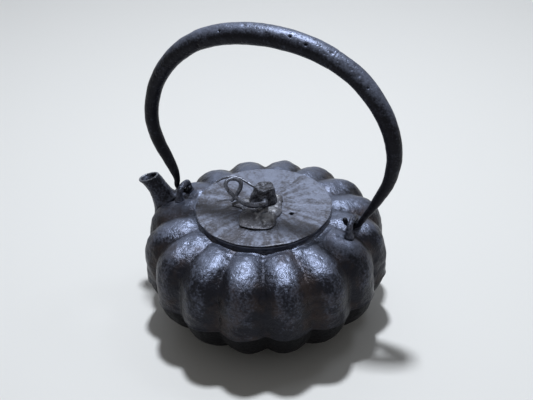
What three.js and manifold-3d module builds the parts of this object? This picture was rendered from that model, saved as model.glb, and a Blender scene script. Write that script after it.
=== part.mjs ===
// Japanese cast iron kettle: a squat melon-shaped body of sixteen lobes, a short tapered spout,
// a lift-off lid with a melon-stalk knob, and a bail handle that swings in two lugs.
// Millimetres. +Z is up, and the origin is the centre of the base, on the table.
// The spout points along -X, and the handle swings about an axis parallel to X.

import * as THREE from 'three';
import { mergeVertices } from 'three/addons/utils/BufferGeometryUtils.js';
import Module from 'manifold-3d';

// Body
const lobeCount = 16;
const lobeDepth = 7;           // ridge to valley at the widest level
const lobeRoundness = 0.9;     // 0 is a wave, 1 a row of half circles
const bodyRadius = 95;         // over the ridges
const widestHeight = 42;
const baseRadius = 62;
const baseChamfer = 2;
const shoulderTop = 89.4;
const shoulderTopRadius = 71;
const lowerFullness = 1.9;     // exponent of the curve below the widest level
const upperFullness = 4.5;     // exponent of the curve above it
const crown = [[64, 90.8], [58, 91], [54.6, 90]];  // from the shoulder in to the rim
const seamHeight = 41;         // where the two halves of the mould met
const seamStep = 1.4;          // the lower half is this much smaller
const seamDrop = 0.8;
const wall = 3;
const gap = 0.3;               // between pieces that touch

// Mouth and lid
const mouthRadius = 46.5;
const mouthRimRadius = 50.6;
const mouthTop = 92;
const lidRadius = 52;
const lidTop = 96.2;
const lidThickness = 3;        // over the mouth
const flangeRadius = 45.2;
const flangeDepth = 8;
const flangeWall = 2.4;
const steamHoleRadius = 2.2;
const steamHoleAt = [24.5, -3.7];
const shankHoleRadius = 3.2;

// Spout
const spoutWall = 2;
const spoutPath = [
  [-70, 52], [-78, 63], [-85, 76], [-90.5, 87], [-95, 94.4], [-100.6, 99.8], [-109, 105.7],
];
const spoutRadii = [18.5, 16.5, 13, 10, 8, 7.6, 8.6];
const lipAt = [-100.1, 99.7];  // middle of the lip
const lipTilt = 19;            // degrees, outwards

// Lugs
const lugAt = { left: -68.6, right: 71.2 };
const lugBar = 2.7;            // radius of the bar
const lugHalfWidth = 8.2;      // to the middle of the bar
const lugSpring = 88.6;        // height at which the arch starts
const lugRise = 9.7;
const lugFoot = 70;

// Handle: its centre line, forged a little to one side, from the left hook over to the right one
const hingeHeight = 93.2;
const handleLean = 1.6;        // degrees, the way it stands in its lugs
const handleLine = [
  [-63.1, 98.4], [-63.3, 95.8], [-64.7, 93.8], [-67, 93.2], [-70.4, 93.2], [-73, 94],
  [-74.5, 97.2], [-74, 102], [-75.2, 108.5], [-80.2, 120], [-86, 132], [-90, 145],
  [-90.8, 156], [-88.9, 168], [-84, 182.5], [-75.5, 197], [-64.5, 209.5], [-51.5, 219.5],
  [-37, 226.5], [-18, 231.5], [4, 233.3], [25, 231.6], [44, 227], [60, 219.7],
  [74, 210], [87.1, 194.3], [95.3, 178.7], [99.8, 160], [99.1, 146], [96.7, 135],
  [91.2, 122.6], [84.7, 109.7], [81.3, 104.3], [78.7, 99.4], [76.4, 95.3], [74.2, 93.6],
  [71.6, 93.2], [69.2, 93.2], [66.9, 93.8], [65.5, 95.8], [65.3, 98.4],
];
const gripEnds = [-46, 55];    // where the grip begins and ends, across the kettle
const gripRadii = [7.5, 7.9, 8, 7.9, 7.6];
const gripBore = 5.6;
const spigotRadius = 5.1;
const spigotLength = 9;
const armRadii = {              // from the tip of the hook up to the grip
  left: [2, 2.1, 3.4, 4.3, 5.1, 5.5, 5.7, 5.9, 6.2, 6.7, 7.1, 7.3],
  right: [2, 2.1, 2.7, 3.6, 4.6, 5.4, 6.1, 6.5, 6.9, 7.2, 7.3, 7.4],
};
const wormHoles = [[-30.6, 142], [3.6, 30], [19.5, 132], [31.1, 146]];
const wormHoleRadius = 1;

// Knob
const knobTurn = 23;           // degrees, the side on which the tendril lies
const shankRadius = 2.8;
const leafOutline = [           // edge of the seat: degrees round from the right, and reach
  [0, 14.5], [25, 16.5], [55, 14.5], [90, 16.5], [125, 14.5], [155, 16], [180, 25], [203, 18],
  [222, 24], [239, 33.5], [256, 34], [272, 34.5], [284, 31.5], [298, 22], [315, 19.5], [338, 15],
];
const stemHeight = 13;
const stemRadii = [10, 9.1, 8, 7, 6.5];  // from the foot up
const tendrilPoints = [
  [1.1, -12.6, 8.8], [-3.8, -13.2, 7.7], [-9, -12.2, 7.1], [-14.3, -9.8, 7.7], [-19.5, -7, 10.1],
  [-25.3, -4, 15.1], [-27.7, -1, 19.1], [-25.5, 2, 21.3], [-20.3, 4, 20.6], [-16.6, 4, 17.2],
  [-17.5, 2.5, 12.3], [-21, 0.5, 7.4], [-24.6, -1, 3.2],
];
const tendrilRadii = [1.9, 1.7, 1.4, 1.3, 1.35, 1.4, 1.3];
const sprigPoints = [
  [-9, 4, 14.9], [-13.4, 7, 16.5], [-18.7, 9.5, 17.9], [-24.1, 10.8, 18.4], [-30.2, 10.5, 17.2],
  [-35.8, 9.5, 14.4],
];
const sprigRadius = 0.75;

const xAxis = new THREE.Vector3(1, 0, 0);
const yAxis = new THREE.Vector3(0, 1, 0);

const wasm = await Module();
wasm.setup();

const finish = {
  body: new THREE.MeshStandardMaterial({ color: 0x3b3634, roughness: 0.62, metalness: 0.55 }),
  lid: new THREE.MeshStandardMaterial({ color: 0x4b474b, roughness: 0.5, metalness: 0.6 }),
  knob: new THREE.MeshStandardMaterial({ color: 0x2b2725, roughness: 0.6, metalness: 0.5 }),
  handle: new THREE.MeshStandardMaterial({ color: 0x24242a, roughness: 0.42, metalness: 0.7 }),
};

function named(name, geometry, material) {
  geometry.computeVertexNormals();
  const mesh = new THREE.Mesh(geometry, material.clone());
  mesh.name = name;
  return mesh;
}

// A closed solid from rings of points, joined ring to ring. The two ends are closed by fans,
// or with loop set the last ring joins the first.
function ringSolid(rings, loop = false) {
  const count = rings[0].length;
  const points = rings.flat();
  const index = [];
  const steps = loop ? rings.length : rings.length - 1;
  for (let i = 0; i < steps; i += 1) {
    const here = i * count;
    const next = ((i + 1) % rings.length) * count;
    for (let j = 0; j < count; j += 1) {
      const k = (j + 1) % count;
      index.push(here + j, here + k, next + k);
      index.push(here + j, next + k, next + j);
    }
  }
  if (!loop) {
    const last = (rings.length - 1) * count;
    const start = points.length;
    points.push(middle(rings[0]), middle(rings[rings.length - 1]));
    for (let j = 0; j < count; j += 1) {
      const k = (j + 1) % count;
      index.push(start, k, j);
      index.push(start + 1, last + j, last + k);
    }
  }
  const geometry = new THREE.BufferGeometry().setFromPoints(points);
  geometry.setIndex(index);
  return geometry;
}

function middle(points) {
  const sum = new THREE.Vector3();
  points.forEach((point) => sum.add(point));
  return sum.divideScalar(points.length);
}

// One ring about the Z axis. The changes in radius and in height are functions of the angle.
function levelRing(radius, height, columns, change = () => 0, lift = () => 0) {
  const ring = [];
  for (let j = 0; j < columns; j += 1) {
    const angle = (2 * Math.PI * j) / columns;
    const r = radius + change(angle);
    const z = height + lift(angle);
    ring.push(new THREE.Vector3(r * Math.cos(angle), r * Math.sin(angle), z));
  }
  return ring;
}

// One ring of a round bar, about a point, in the plane of two unit vectors
function barRing(centre, normal, binormal, radius, sides) {
  const ring = [];
  for (let j = 0; j < sides; j += 1) {
    const angle = (2 * Math.PI * j) / sides;
    const point = centre.clone();
    point.addScaledVector(normal, radius * Math.cos(angle));
    point.addScaledVector(binormal, radius * Math.sin(angle));
    ring.push(point);
  }
  return ring;
}

// A round bar along a free curve, its radius a function of the share of the length
function freeBar(curve, steps, radiusAt, sides) {
  const frames = curve.computeFrenetFrames(steps, false);
  const rings = [];
  for (let i = 0; i <= steps; i += 1) {
    const centre = curve.getPointAt(i / steps);
    rings.push(barRing(centre, frames.normals[i], frames.binormals[i], radiusAt(i / steps), sides));
  }
  return ringSolid(rings);
}

// A round bar along a stretch of a flat curve, given the direction square to the curve's plane
function flatBar(curve, across, [from, to], steps, radiusAt, sides) {
  const rings = [];
  for (let i = 0; i <= steps; i += 1) {
    const share = from + ((to - from) * i) / steps;
    const tangent = curve.getTangentAt(share).multiplyScalar(Math.sign(to - from));
    const normal = across.clone().cross(tangent);
    rings.push(barRing(curve.getPointAt(share), normal, across, radiusAt(i / steps), sides));
  }
  return ringSolid(rings);
}

function smoothCurve(points) {
  return new THREE.CatmullRomCurve3(points, false, 'centripetal');
}

// Value at a share of the way through an evenly spaced list
function along(values, share) {
  const place = share * (values.length - 1);
  const i = Math.min(Math.floor(place), values.length - 2);
  return values[i] + (values[i + 1] - values[i]) * (place - i);
}

function solidOf(geometry) {
  const vertProperties = new Float32Array(geometry.getAttribute('position').array);
  const triVerts = new Uint32Array(geometry.index.array);
  return new wasm.Manifold(new wasm.Mesh({ numProp: 3, vertProperties, triVerts }));
}

function geometryOf(solid) {
  const { vertProperties, triVerts } = solid.getMesh();
  const geometry = new THREE.BufferGeometry();
  geometry.setAttribute('position', new THREE.BufferAttribute(vertProperties, 3));
  geometry.setIndex(new THREE.BufferAttribute(triVerts, 1));
  return geometry;
}

// Body: the upright outline is two quarter superellipses, and lobes run up and down it
const lowerReach = widestHeight / (1 - (baseRadius / bodyRadius) ** lowerFullness) ** (1 / lowerFullness);
const upperReach = (shoulderTop - widestHeight)
  / (1 - (shoulderTopRadius / bodyRadius) ** upperFullness) ** (1 / upperFullness);

const bodyColumns = 6 * lobeCount;

// 0 on a ridge and 1 in a valley. The valleys are sharp and the lobes between them round.
function valley(angle) {
  const share = ((angle * lobeCount) / (2 * Math.PI)) % 1;
  const away = Math.abs(2 * share - 1);
  const fall = 1 - Math.sqrt(1 - (lobeRoundness * away) ** 2);
  return fall / (1 - Math.sqrt(1 - lobeRoundness ** 2));
}

// Rings of lobes on an upright outline of [radius, height] points. Each valley is pressed in
// along the outline's normal, and runs out at the mouth.
function lobedRings(outline) {
  return outline.map(([radius, height], i) => {
    const [r0, z0] = outline[Math.max(i - 1, 0)];
    const [r1, z1] = outline[Math.min(i + 1, outline.length - 1)];
    const spread = Math.max(0, (radius - mouthRimRadius) / (bodyRadius - mouthRimRadius));
    const depth = lobeDepth * (0.4 + 0.6 * spread) * Math.min(1, 5 * spread);
    const share = depth / Math.hypot(r1 - r0, z1 - z0);
    const inwards = (angle) => share * (z0 - z1) * valley(angle);
    const upwards = (angle) => share * (r1 - r0) * valley(angle);
    return levelRing(radius, height, bodyColumns, inwards, upwards);
  });
}

// Radius of the outline at a height up to the widest level
function lowerRadius(height, inset) {
  const drop = (widestHeight - height) / (lowerReach - inset);
  return (bodyRadius - inset) * (1 - drop ** lowerFullness) ** (1 / lowerFullness);
}

// The outline from the widest level up to the shoulder
function upperOutline(inset, steps) {
  const reach = upperReach - inset;
  const rise = shoulderTop - inset - widestHeight;
  const end = Math.asin((rise / reach) ** (upperFullness / 2));
  const outline = [];
  for (let i = 0; i <= steps; i += 1) {
    const angle = (end * i) / steps;
    const radius = (bodyRadius - inset) * Math.cos(angle) ** (2 / upperFullness);
    outline.push([radius, widestHeight + reach * Math.sin(angle) ** (2 / upperFullness)]);
  }
  return outline;
}

// The outer surface from the base to the top of the mouth's rim, grown by a clearance
function outerRings(grow) {
  const lowerHeights = [baseChamfer, 9, 18, 30, seamHeight - seamDrop];
  const outline = [
    ...lowerHeights.map((height) => [lowerRadius(height, seamStep) + grow, height]),
    [lowerRadius(seamHeight, 0) + grow, seamHeight],
    ...upperOutline(-grow, 7),
    ...crown.map(([radius, height]) => [radius + grow, height + grow]),
  ];
  const foot = baseRadius - baseChamfer + grow;
  return [
    levelRing(foot, -grow, bodyColumns, (angle) => -lobeDepth * 0.5 * valley(angle)),
    ...lobedRings(outline),
    levelRing(mouthRimRadius + grow, crown[2][1] + grow, bodyColumns),
    levelRing(mouthRimRadius + grow, mouthTop + grow, bodyColumns),
  ];
}

function bodyShell() {
  const innerOutline = [
    ...[4.5, 12, 24, 36].map((height) => [lowerRadius(height, wall + seamStep), height]),
    ...upperOutline(wall, 4),
    ...crown.slice(0, 2).map(([radius, height]) => [radius, height - wall]),
  ];
  const throat = [
    levelRing(mouthRadius, mouthTop, bodyColumns),
    levelRing(mouthRadius, crown[2][1] - wall, bodyColumns),
  ];
  const floor = levelRing(baseRadius - 2 * wall, wall, bodyColumns);
  return solidOf(ringSolid([...outerRings(0), ...throat, ...lobedRings(innerOutline).reverse(), floor]));
}

function spoutBar(shrink) {
  const points = spoutPath.map(([x, z]) => new THREE.Vector3(x, 0, z));
  const radiusAt = (share) => along(spoutRadii, share) - shrink;
  return solidOf(flatBar(smoothCurve(points), yAxis, [0, 1], 18, radiusAt, 20));
}

// The spout's outside, cut off at the lip
function spoutOutside() {
  const tilt = THREE.MathUtils.degToRad(lipTilt);
  const [x, z] = [Math.sin(tilt), -Math.cos(tilt)];
  return spoutBar(0).trimByPlane([x, 0, z], x * lipAt[0] + z * lipAt[1]);
}

// A lug is a flat-topped arch of round bar, its two feet in the body's shoulder
function lug(place) {
  const points = [new THREE.Vector3(place, -lugHalfWidth, lugFoot)];
  for (let i = 0; i <= 10; i += 1) {
    const angle = Math.PI * (1 - i / 10);
    const y = lugHalfWidth * Math.sign(Math.cos(angle)) * Math.abs(Math.cos(angle)) ** 0.7;
    points.push(new THREE.Vector3(place, y, lugSpring + lugRise * Math.sin(angle) ** 0.7));
  }
  points.push(new THREE.Vector3(place, lugHalfWidth, lugFoot));
  return solidOf(flatBar(smoothCurve(points), xAxis, [0, 1], 26, () => lugBar, 10));
}

// Lid: a thin plate, a little raised in the middle, with a locating flange below
function lidPlate() {
  const columns = 4 * lobeCount;
  const under = lidTop - lidThickness;
  const wave = (angle) => 0.5 * Math.cos(lobeCount * angle);
  const rings = [
    levelRing(shankHoleRadius, under, columns),
    levelRing(flangeRadius - flangeWall, under, columns),
    levelRing(flangeRadius - flangeWall, mouthTop + gap - flangeDepth, columns),
    levelRing(flangeRadius, mouthTop + gap - flangeDepth, columns),
    levelRing(flangeRadius, mouthTop + gap, columns),
    levelRing(mouthRimRadius - 1, mouthTop + gap, columns),
    levelRing(lidRadius - 0.6, mouthTop + 1.4, columns, wave),
    levelRing(lidRadius, lidTop - 1.5, columns, wave),
    levelRing(lidRadius - 0.6, lidTop - 0.8, columns, wave),
    levelRing(lidRadius - 5, lidTop - 0.7, columns),
    levelRing(0.4 * lidRadius, lidTop, columns),
    levelRing(shankHoleRadius, lidTop, columns),
  ];
  const drill = new THREE.CylinderGeometry(steamHoleRadius, steamHoleRadius, 30, 12);
  drill.rotateX(Math.PI / 2);
  drill.translate(steamHoleAt[0], steamHoleAt[1], lidTop);
  return solidOf(ringSolid(rings, true)).subtract(solidOf(bare(drill)));
}

// A geometry with shared corners merged, so that it is one closed mesh
function bare(geometry) {
  geometry.deleteAttribute('normal');
  geometry.deleteAttribute('uv');
  return mergeVertices(geometry);
}

// Knob: a five-sided melon stalk with a shank that is peened over a washer below the lid
function knobStem() {
  const columns = 30;
  const ribs = (depth) => (angle) => depth * Math.cos(5 * angle);
  const foot = lidTop + 3 + gap;
  const head = lidTop - lidThickness - 1.6 - 2 * gap;
  const rings = [
    levelRing(3.4, head - 2, columns),
    levelRing(4.6, head - 0.8, columns),
    levelRing(4.6, head, columns),
    levelRing(shankRadius, head, columns),
    levelRing(shankRadius, foot, columns),
    levelRing(stemRadii[0], foot, columns, ribs(1.1)),
    levelRing(stemRadii[1], foot + 0.3 * stemHeight, columns, ribs(1)),
    levelRing(stemRadii[2], foot + 0.6 * stemHeight, columns, ribs(0.9)),
    levelRing(stemRadii[3], foot + 0.9 * stemHeight, columns, ribs(0.8)),
    levelRing(stemRadii[4], foot + stemHeight, columns, ribs(0.7)),
    levelRing(0.7 * stemRadii[4], foot + stemHeight - 0.8, columns, ribs(0.5)),
  ];
  return ringSolid(rings);
}

// The seat below the stalk: a leaf that lies on the lid, its broadest lobe towards the front
function knobSeat() {
  const tips = leafOutline.map(([degrees, reach]) => {
    const angle = THREE.MathUtils.degToRad(degrees + knobTurn);
    return new THREE.Vector3(reach * Math.cos(angle), reach * Math.sin(angle), 0);
  });
  const edge = new THREE.CatmullRomCurve3(tips, true, 'centripetal').getPoints(48).slice(0, 48);
  const ring = (height, reachAt) => edge.map((point) => {
    return point.clone().setLength(reachAt(point.length())).setZ(height);
  });
  const under = lidTop + gap;
  return ringSolid([
    ring(under, () => shankHoleRadius),
    ring(under, (reach) => reach - 1),
    ring(under + 0.7, (reach) => reach),
    ring(under + 1.6, (reach) => 0.7 * reach + 3.2),
    ring(lidTop + 3, () => 11.2),
    ring(lidTop + 3, () => shankHoleRadius),
  ], true);
}

function knobWasher() {
  const top = lidTop - lidThickness - gap;
  return ringSolid([
    levelRing(shankHoleRadius, top - 1.6, 24),
    levelRing(7, top - 1.6, 24),
    levelRing(7, top, 24),
    levelRing(shankHoleRadius, top, 24),
  ], true);
}

// Points beside the knob, as distance to the right, distance back and height above the lid
function besideKnob(points) {
  const turn = THREE.MathUtils.degToRad(knobTurn);
  return smoothCurve(points.map(([right, back, up]) => new THREE.Vector3(
    right * Math.cos(turn) - back * Math.sin(turn),
    right * Math.sin(turn) + back * Math.cos(turn),
    lidTop + up,
  )));
}

// Handle: one arch, cut into a hollow grip and two arms that end in hooks
const arch = smoothCurve(handleLine.map(([x, z]) => new THREE.Vector3(x, 0, z)));
arch.arcLengthDivisions = 600;
const archLength = arch.getLength();

// Share of the arch's length at which it comes to a given place across the kettle, over the lid
function archShareAt(x) {
  let low = 0.3;
  let high = 0.7;
  for (let i = 0; i < 30; i += 1) {
    const mid = (low + high) / 2;
    if (arch.getPointAt(mid).x < x) {
      low = mid;
    } else {
      high = mid;
    }
  }
  return low;
}

const [gripStart, gripEnd] = gripEnds.map(archShareAt);

function archBar(from, to, steps, radiusAt) {
  return solidOf(flatBar(arch, yAxis, [from, to], steps, radiusAt, 14));
}

// The handle stands in its lugs leaning a little back
function leaned(solid) {
  const geometry = geometryOf(solid);
  geometry.translate(0, 0, -hingeHeight);
  geometry.rotateX(THREE.MathUtils.degToRad(-handleLean));
  geometry.translate(0, 0, hingeHeight);
  return geometry;
}

function handleGrip() {
  const past = 2 / archLength;
  let grip = archBar(gripStart, gripEnd, 24, (share) => along(gripRadii, share));
  grip = grip.subtract(archBar(gripStart - past, gripEnd + past, 26, () => gripBore));
  wormHoles.forEach(([x, turn]) => {
    const length = gripRadii[2] + 4;
    const drill = new THREE.CylinderGeometry(wormHoleRadius, wormHoleRadius, length, 6);
    drill.translate(0, length / 2, 0);
    drill.rotateX(THREE.MathUtils.degToRad(turn));
    const at = arch.getPointAt(0.5 + x / archLength);
    drill.translate(at.x, at.y, at.z);
    grip = grip.subtract(solidOf(bare(drill)));
  });
  return leaned(grip);
}

// An arm runs from the tip of its hook to the grip, and its spigot goes on into the grip's bore
function handleArm(side) {
  const tip = side < 0 ? 0 : 1;
  const join = side < 0 ? gripStart : gripEnd;
  const top = join + (side * gap) / archLength;
  const spigotEnd = join - (side * spigotLength) / archLength;
  const radii = side < 0 ? armRadii.left : armRadii.right;
  const arm = archBar(tip, top, 40, (share) => along(radii, share));
  const spigot = archBar(top, spigotEnd, 3, () => spigotRadius);
  return leaned(arm.add(spigot));
}

const kettle = new THREE.Group();
const envelope = solidOf(ringSolid(outerRings(gap)));
const passage = spoutBar(spoutWall);

kettle.add(named('body_shell', geometryOf(bodyShell().subtract(passage)), finish.body));
const spout = spoutOutside().subtract(envelope).subtract(passage);
kettle.add(named('spout', geometryOf(spout), finish.body));
kettle.add(named('lug_left', geometryOf(lug(lugAt.left).subtract(envelope)), finish.body));
kettle.add(named('lug_right', geometryOf(lug(lugAt.right).subtract(envelope)), finish.body));

const lid = new THREE.Group();
lid.add(named('lid_plate', geometryOf(lidPlate()), finish.lid));
lid.add(named('knob_seat', knobSeat(), finish.knob));
lid.add(named('knob_stem', knobStem(), finish.knob));
lid.add(named('knob_washer', knobWasher(), finish.knob));
const tendrilAt = (share) => along(tendrilRadii, share);
lid.add(named('vine_tendril', freeBar(besideKnob(tendrilPoints), 36, tendrilAt, 8), finish.knob));
lid.add(named('vine_sprig', freeBar(besideKnob(sprigPoints), 16, () => sprigRadius, 6), finish.knob));
kettle.add(lid);

const handle = new THREE.Group();
handle.add(named('handle_grip', handleGrip(), finish.handle));
handle.add(named('handle_arm_left', handleArm(-1), finish.handle));
handle.add(named('handle_arm_right', handleArm(1), finish.handle));
kettle.add(handle);

export default kettle;
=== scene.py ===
import math

import bpy
import numpy as np
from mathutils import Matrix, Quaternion, Vector


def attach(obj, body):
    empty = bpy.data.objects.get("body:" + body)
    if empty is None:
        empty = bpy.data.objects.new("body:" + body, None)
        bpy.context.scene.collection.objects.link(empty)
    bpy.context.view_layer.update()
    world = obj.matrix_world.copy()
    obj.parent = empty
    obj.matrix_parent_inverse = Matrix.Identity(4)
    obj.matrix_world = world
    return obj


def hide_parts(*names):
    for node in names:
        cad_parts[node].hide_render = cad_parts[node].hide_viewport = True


# Cast iron kettle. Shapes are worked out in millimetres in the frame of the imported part: +Z up,
# origin in the middle of the base, spout along -X. gridMesh turns them into metres, and the
# finishes read object coordinates, which are in metres.

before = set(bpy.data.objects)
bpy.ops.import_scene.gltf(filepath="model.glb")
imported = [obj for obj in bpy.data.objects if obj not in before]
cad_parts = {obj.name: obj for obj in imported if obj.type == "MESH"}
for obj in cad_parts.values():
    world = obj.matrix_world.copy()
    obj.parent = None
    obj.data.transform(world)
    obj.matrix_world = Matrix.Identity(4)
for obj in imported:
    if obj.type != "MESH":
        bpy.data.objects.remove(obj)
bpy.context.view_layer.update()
print("packed frame loaded")

mm = 0.001
acrossY = np.array([0.0, 1.0, 0.0])


# Small tools for shapes

def ease(x):  # 0 to 1 without a corner: 3x^2 - 2x^3
    x = np.clip(x, 0, 1)
    return x * x * (3 - 2 * x)


def unit(vectors):  # the same directions, one long
    return vectors / np.linalg.norm(vectors, axis=-1, keepdims=True)


def fullTurn(count):  # angles evenly once round
    return np.linspace(0, 2 * np.pi, count, endpoint=False)


# A surface turned about Z: x is r cos a, y is r sin a, and z is the height
def aboutZ(radius, angle, height):
    return np.stack(np.broadcast_arrays(radius * np.cos(angle), radius * np.sin(angle), height), -1)


# Lumps from 0 to 1: random numbers on a cubic lattice, blended between its corners with eased
# weights. The size is the lattice's spacing, and it repeats after a number of cells.
def lumps(points, size, seed, cells=32):
    table = np.random.default_rng(seed).random((cells, cells, cells))
    place = points / size
    cell = np.floor(place).astype(int)
    share = ease(place - cell)
    total = np.zeros(points.shape[:-1])
    for corner in range(8):
        step = np.array([corner & 1, corner >> 1 & 1, corner >> 2])
        weight = np.prod(np.where(step, share, 1 - share), axis=-1)
        x, y, z = np.moveaxis((cell + step) % cells, -1, 0)
        total += weight * table[x, y, z]
    return total


# Lumps of several sizes, each less a middle and times its depth, added up
def uneven(points, sizes, seed, middle=0.0):
    return sum(depth * (lumps(points, size, seed + k) - middle) for k, (size, depth) in enumerate(sizes))


# A smooth line through points: each stretch is the cubic with non-uniform Catmull-Rom slopes,
# its knots spaced by the square roots of the distances
def throughPoints(points, steps=24):
    points = np.asarray(points, float)
    ends = 2 * points[[0, -1]] - points[[1, -2]]
    points = np.vstack([ends[:1], points, ends[1:]])
    p0, p1, p2, p3 = points[:-3], points[1:-2], points[2:-1], points[3:]
    d0, d1, d2 = [np.sqrt(np.linalg.norm(b - a, axis=1))[:, None]
                  for a, b in ((p0, p1), (p1, p2), (p2, p3))]
    slopeA = ((p1 - p0) / d0 - (p2 - p0) / (d0 + d1) + (p2 - p1) / d1) * d1
    slopeB = ((p2 - p1) / d1 - (p3 - p1) / (d1 + d2) + (p3 - p2) / d2) * d1
    t = np.linspace(0, 1, steps, endpoint=False)[None, :, None]
    p1, p2, slopeA, slopeB = (a[:, None, :] for a in (p1, p2, slopeA, slopeB))
    square = 3 * (p2 - p1) - 2 * slopeA - slopeB
    cube = 2 * (p1 - p2) + slopeA + slopeB
    line = p1 + slopeA * t + square * t ** 2 + cube * t ** 3
    return np.vstack([line.reshape(-1, points.shape[1]), points[-2]])


def lengthAlong(line):  # distance from the line's start at each of its points
    return np.concatenate([[0], np.cumsum(np.linalg.norm(np.diff(line, axis=0), axis=1))])


def pick(line, at):  # points of a line at given distances from its start
    length = lengthAlong(line)
    return np.stack([np.interp(at, length, column) for column in line.T], axis=1)


def evenly(line, count):  # the line again with equal steps
    return pick(line, np.linspace(0, lengthAlong(line)[-1], count))


def listAt(values, count):  # an evenly spaced list read at more places
    return np.interp(np.linspace(0, 1, count), np.linspace(0, 1, len(values)), values)


# Rings round a path: each point is the path's point plus the radius along a direction that
# turns once from the normal towards the cross direction. Gives the points and the directions.
def ringsAlong(path, across, radius, columns, tangents=None):
    if tangents is None:
        tangents = unit(np.gradient(path, axis=0))
    turn = fullTurn(columns)[:, None]
    side = unit(across - np.sum(across * tangents, axis=1, keepdims=True) * tangents)
    normal = np.cross(side, tangents)
    out = np.cos(turn) * normal[:, None] + np.sin(turn) * side[:, None]
    return path[:, None] + radius[:, None, None] * out, out


# A radius that closes in a half round at the start of a bar, and at its end too unless told
# otherwise. It stops at a fiftieth, so that no ring is a point.
def roundEnds(radius, length, atEnd=True):
    away = np.minimum(length, length[-1] - length) if atEnd else length
    inside = np.clip(1 - away / radius, 0, 1)
    return radius * np.sqrt(np.maximum(1 - inside ** 2, 0.02 ** 2))


# Rows of points become a mesh: neighbours in rows and columns are joined by quads, and columns
# run all the way round. Each end is closed by a fan to a pole, or the rows run round too.
def gridMesh(name, rows, loop=False, start=None, end=None):
    count, columns = rows.shape[:2]
    index = np.arange(count * columns).reshape(count, columns)
    low = index if loop else index[:-1]
    high = np.roll(index, -1, 0) if loop else index[1:]
    quads = np.stack([low, np.roll(low, -1, 1), np.roll(high, -1, 1), high], -1)
    faces = quads.reshape(-1, 4).tolist()
    points = rows.reshape(-1, 3)
    for pole, ring in ((start, index[0][::-1]), (end, index[-1])):
        if pole is not None:
            fan = np.stack([np.full(columns, len(points)), ring, np.roll(ring, -1)], -1)
            faces += fan.tolist()
            points = np.vstack([points, pole])
    mesh = bpy.data.meshes.new(name)
    mesh.from_pydata(points * mm, [], faces)
    mesh.polygons.foreach_set("use_smooth", np.ones(len(mesh.polygons), bool))
    mesh.update()
    return mesh


def addObject(name, data):
    made = bpy.data.objects.new(name, data)
    bpy.context.scene.collection.objects.link(made)
    return made


# A piece from rows of points
def addPiece(name, rows, **ends):
    return addObject(name, gridMesh(name, rows, **ends))


# Takes a tool's shape out of a piece and leaves one plain mesh
def cutAway(piece, tool, sharpAngle=55):
    modifier = piece.modifiers.new("cut", "BOOLEAN")
    modifier.operation = "DIFFERENCE"
    modifier.solver = "MANIFOLD"
    modifier.object = tool
    graph = bpy.context.evaluated_depsgraph_get()
    mesh = bpy.data.meshes.new_from_object(piece.evaluated_get(graph), depsgraph=graph)
    piece.modifiers.clear()
    piece.data = mesh
    mesh.polygons.foreach_set("use_smooth", np.ones(len(mesh.polygons), bool))
    mesh.set_sharp_from_angle(angle=math.radians(sharpAngle))
    bpy.data.objects.remove(tool)


# A finished piece rides on its body, stands for its solid and has its finish
def dress(piece, body, node, finish):
    piece.data.materials.clear()
    piece.data.materials.append(finish)
    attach(piece, body)
    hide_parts(node)


# Small tools for finishes

# A shader value. Arithmetic on it adds Math nodes.
class Link:
    def __init__(self, finish, socket):
        self.finish, self.socket = finish, socket

    def other(self, output):  # another output of the same node
        return Link(self.finish, self.socket.node.outputs[output])

    def __add__(self, other):
        return self.finish.number("ADD", self, other)

    def __sub__(self, other):
        return self.finish.number("SUBTRACT", self, other)

    def __rsub__(self, other):
        return self.finish.number("SUBTRACT", other, self)

    def __mul__(self, other):
        return self.finish.number("MULTIPLY", self, other)

    def __pow__(self, other):
        return self.finish.number("POWER", self, other)

    __radd__ = __add__
    __rmul__ = __mul__


# A material, or the world, whose nodes all come from one method
class Finish:
    def __init__(self, name, data=None):
        self.data = data or bpy.data.materials.new(name)
        self.data.use_nodes = True
        self.nodes, self.links = self.data.node_tree.nodes, self.data.node_tree.links
        self.nodes.clear()

    def node(self, kind, settings=None, values=None, output=0):
        made = self.nodes.new(kind)
        for key, value in (settings or {}).items():
            setattr(made, key, value)
        for key, value in (values or {}).items():
            if isinstance(value, Link):
                self.links.new(value.socket, made.inputs[key])
            else:
                made.inputs[key].default_value = value
        return Link(self, made.outputs[output]) if made.outputs else None

    def number(self, operation, first, second=0.0):
        return self.node("ShaderNodeMath", {"operation": operation}, {0: first, 1: second})

    def vector(self, operation, first, second=(0, 0, 0), output=0):
        values = {0: first, 1: second}
        return self.node("ShaderNodeVectorMath", {"operation": operation}, values, output)

    def place(self):  # object coordinates
        return self.node("ShaderNodeTexCoord", output=3)

    def axes(self, where):  # a vector's three numbers
        parts = self.node("ShaderNodeSeparateXYZ", values={0: where})
        return parts, parts.other(1), parts.other(2)

    def noise(self, where, scale, detail, rough):
        values = {"Vector": where, "Scale": scale, "Detail": detail, "Roughness": rough}
        return self.node("ShaderNodeTexNoise", values=values)

    def cells(self, where, scale):  # distance to the nearest of scattered points
        return self.node("ShaderNodeTexVoronoi", {"feature": "F1"}, {"Vector": where, "Scale": scale})

    def ramp(self, value, low, high):  # 0 below low, 1 above high
        return self.node("ShaderNodeMapRange", {"interpolation_type": "SMOOTHSTEP"},
                         {"Value": value, "From Min": low, "From Max": high})

    def mix(self, mask, first, second):
        settings = {"data_type": "RGBA", "blend_type": "MIX"}
        return self.node("ShaderNodeMix", settings, {0: mask, 6: first, 7: second}, output=2)


def shade(red, green, blue):
    return (red, green, blue, 1)


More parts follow.
